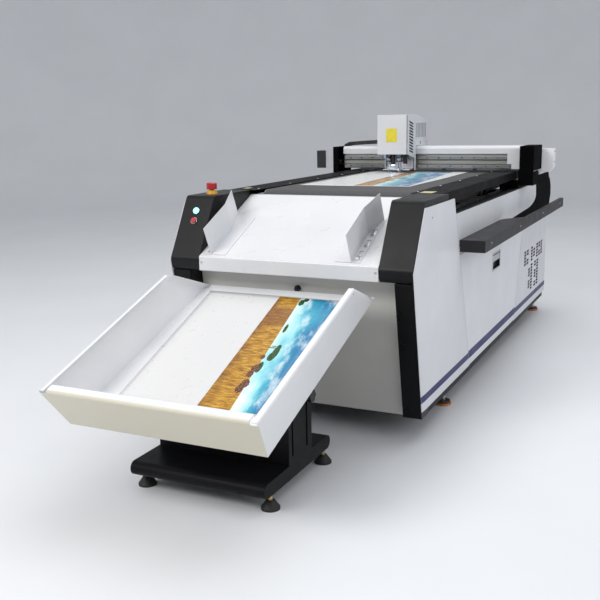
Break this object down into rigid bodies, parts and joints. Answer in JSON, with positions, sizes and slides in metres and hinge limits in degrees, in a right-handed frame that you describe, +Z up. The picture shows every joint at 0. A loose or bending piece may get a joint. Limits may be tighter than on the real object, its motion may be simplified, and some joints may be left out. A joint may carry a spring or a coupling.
{
  "type": "flatbed sheet cutter",
  "caption": "Flatbed sheet cutter: felt conveyor bed, travelling gantry with knife and creasing head, sloped delivery chute and a separate tilting catch tray on its own stand.",
  "frame": {"origin": "on the floor under the middle of the box of machine and tray stand", "axes": "+X to the right seen from the tray end, +Y from the tray end to the feed end, +Z up"},
  "size_m": [1.226, 3.3683, 1.133],
  "materials": {
    "aluminium": "anodised aluminium",
    "belt_felt": "grey felt",
    "cabinet_grey": "grey paint",
    "chrome": "chromed",
    "cover_black": "black textured powder coat",
    "cover_white": "white powder coat, fine texture",
    "foot_orange": "orange rubber pad on a steel foot",
    "frame_black": "black powder coat",
    "panel_grey": "light grey powder coat",
    "plastic_black": "black plastic",
    "plastic_green": "lit green-white plastic",
    "plastic_red": "red plastic",
    "rubber_black": "black rubber",
    "shelf_grey": "dark grey powder coat",
    "steel": "ground steel"
  },
  "bodies": {
    "machine": {"base_frame": "frame_black", "machine_feet": "foot_orange", "front_cheek_left": "cover_black", "front_cheek_right": "cover_black", "front_posts": "frame_black", "delivery_chute": "cover_white", "side_front_panels": "cover_white", "side_rear_panels": "cover_white", "side_upper_covers": "cover_white", "rear_fairings": "cover_black", "rear_cover": "cover_white", "rail_covers": "cover_black", "y_guide_rails": "steel", "y_racks": "steel", "vacuum_table": "aluminium", "conveyor_belt": "belt_felt", "roller_bearings": "steel", "conveyor_motor": "cabinet_grey", "side_shelf": "shelf_grey", "vacuum_blower": "cabinet_grey", "control_cabinet": "cabinet_grey", "button_bezels": "chrome", "front_access_panel": "panel_grey"},
    "gantry": {"gantry_beam": "aluminium", "beam_top_cover": "cover_white", "gantry_legs": "frame_black", "gantry_end_covers": "cover_black", "x_guide_rails": "steel", "x_motor": "aluminium", "x_end_box": "cover_white", "x_drive_belt": "rubber_black", "cable_chain": "plastic_black"},
    "pinions": {"y_pinions": "steel"},
    "drive_pulley": {"x_drive_pulley": "steel"},
    "idler_pulley": {"x_idler_pulley": "steel"},
    "hold_down": {"hold_down_bar": "plastic_black"},
    "head": {"head_carriage": "aluminium", "head_shell": "cover_white", "camera_unit": "plastic_black"},
    "knife": {"knife_module": "steel"},
    "crease": {"crease_module": "aluminium"},
    "wheel": {"crease_wheel": "steel"},
    "rear_roller": {"drive_roller": "steel"},
    "nose_roller": {"front_roller": "steel"},
    "panel_lock": {"front_panel_lock": "plastic_black"},
    "door_left": {"service_door_left": "cover_white"},
    "door_right": {"service_door_right": "cover_white"},
    "latch_left": {"door_latch_left": "steel"},
    "latch_right": {"door_latch_right": "steel"},
    "start": {"start_button": "plastic_green"},
    "stop": {"stop_button": "plastic_red"},
    "estop": {"estop_button": "plastic_red"},
    "mains": {"mains_switch": "plastic_red"},
    "guide_left": {"chute_guide_left": "cover_white"},
    "guide_right": {"chute_guide_right": "cover_white"},
    "stand": {"stand_frame": "frame_black", "stand_feet": "rubber_black"},
    "tray_lift": {"tray_lift_frame": "frame_black"},
    "tray": {"collecting_tray": "cover_white"},
    "clamp_knobs": {"tray_clamp_knobs": "plastic_black"}
  },
  "joints": [
    {"name": "gantry_travel", "type": "slide", "parent": "machine", "child": "gantry", "axis": [0, 1, 0], "range_m": [-1.02, 0.27]},
    {"name": "y_pinion_spin", "type": "hinge", "parent": "gantry", "child": "pinions", "pos_m": [0.374, 0.878, 0.7783], "axis": [1, 0, 0], "range_deg": [-861, 3248]},
    {"name": "head_travel", "type": "slide", "parent": "gantry", "child": "head", "axis": [1, 0, 0], "range_m": [-0.15, 0.43]},
    {"name": "drive_pulley_spin", "type": "hinge", "parent": "gantry", "child": "drive_pulley", "pos_m": [-0.4885, 0.837, 0.8935], "axis": [0, 1, 0], "range_deg": [-848, 2429]},
    {"name": "idler_pulley_spin", "type": "hinge", "parent": "gantry", "child": "idler_pulley", "pos_m": [0.4885, 0.837, 0.8935], "axis": [0, 1, 0], "range_deg": [-848, 2429]},
    {"name": "hold_down_drop", "type": "slide", "parent": "gantry", "child": "hold_down", "axis": [0, 0, 1], "range_m": [-0.002, 0]},
    {"name": "knife_lift", "type": "slide", "parent": "head", "child": "knife", "axis": [0, 0, 1], "range_m": [-0.0035, 0.01]},
    {"name": "crease_lift", "type": "slide", "parent": "head", "child": "crease", "axis": [0, 0, 1], "range_m": [-0.0035, 0.01]},
    {"name": "crease_wheel_spin", "type": "hinge", "parent": "crease", "child": "wheel", "pos_m": [-0.116, 0.725, 0.86], "axis": [1, 0, 0], "continuous": true},
    {"name": "conveyor_drive", "type": "hinge", "parent": "machine", "child": "rear_roller", "pos_m": [0, 1.503, 0.798], "axis": [1, 0, 0], "continuous": true},
    {"name": "nose_roller_spin", "type": "hinge", "parent": "machine", "child": "nose_roller", "pos_m": [0, -0.317, 0.798], "axis": [1, 0, 0], "continuous": true},
    {"name": "panel_lock_turn", "type": "hinge", "parent": "machine", "child": "panel_lock", "pos_m": [0.005, -0.71872, 0.52702], "axis": [0, -0.9934, -0.1149], "range_deg": [0, 90]},
    {"name": "door_left_open", "type": "hinge", "parent": "machine", "child": "door_left", "pos_m": [-0.4705, 0.337, 0.122], "axis": [0, -1, 0], "range_deg": [0, 75]},
    {"name": "door_right_open", "type": "hinge", "parent": "machine", "child": "door_right", "pos_m": [0.4705, 0.337, 0.122], "axis": [0, 1, 0], "range_deg": [0, 75]},
    {"name": "latch_left_pull", "type": "hinge", "parent": "door_left", "child": "latch_left", "pos_m": [-0.468, 0.35, 0.512], "axis": [0, 1, 0], "range_deg": [0, 40]},
    {"name": "latch_right_pull", "type": "hinge", "parent": "door_right", "child": "latch_right", "pos_m": [0.468, 0.35, 0.512], "axis": [0, -1, 0], "range_deg": [0, 40]},
    {"name": "start_press", "type": "slide", "parent": "machine", "child": "start", "axis": [0, 0.8609, -0.5087], "range_m": [0, 0.003], "stiffness_N_per_m": 400},
    {"name": "stop_press", "type": "slide", "parent": "machine", "child": "stop", "axis": [0, 0.8609, -0.5087], "range_m": [0, 0.003], "stiffness_N_per_m": 400},
    {"name": "estop_press", "type": "slide", "parent": "machine", "child": "estop", "axis": [0, 0, -1], "range_m": [0, 0.006], "stiffness_N_per_m": 900},
    {"name": "mains_switch_turn", "type": "hinge", "parent": "machine", "child": "mains", "pos_m": [0.06, 1.593, 0.3], "axis": [0, 1, 0], "range_deg": [0, 90]},
    {"name": "guide_left_shift", "type": "slide", "parent": "machine", "child": "guide_left", "axis": [1, 0, 0], "range_m": [-0.012, 0.2]},
    {"name": "guide_right_shift", "type": "slide", "parent": "machine", "child": "guide_right", "axis": [1, 0, 0], "range_m": [-0.2, 0.06]},
    {"name": "stand_shift", "type": "slide", "parent": "machine", "child": "stand", "axis": [0, 1, 0], "range_m": [-0.4, 0]},
    {"name": "tray_lift_slide", "type": "slide", "parent": "stand", "child": "tray_lift", "axis": [0, 0, 1], "range_m": [-0.06, 0.02]},
    {"name": "tray_tilt", "type": "hinge", "parent": "tray_lift", "child": "tray", "pos_m": [0, -1.197, 0.371], "axis": [1, 0, 0], "range_deg": [-4, 2]},
    {"name": "clamp_knob_turn", "type": "hinge", "parent": "tray_lift", "child": "clamp_knobs", "pos_m": [0.2445, -1.151, 0.283], "axis": [1, 0, 0], "range_deg": [-90, 90]}
  ],
  "couplings": [
    {"joint": "y_pinion_spin", "follows": "gantry_travel", "rad_per_m": -55.556},
    {"joint": "drive_pulley_spin", "follows": "head_travel", "rad_per_m": 98.522},
    {"joint": "idler_pulley_spin", "follows": "head_travel", "rad_per_m": 98.522},
    {"joint": "nose_roller_spin", "follows": "conveyor_drive", "ratio": 1}
  ]
}
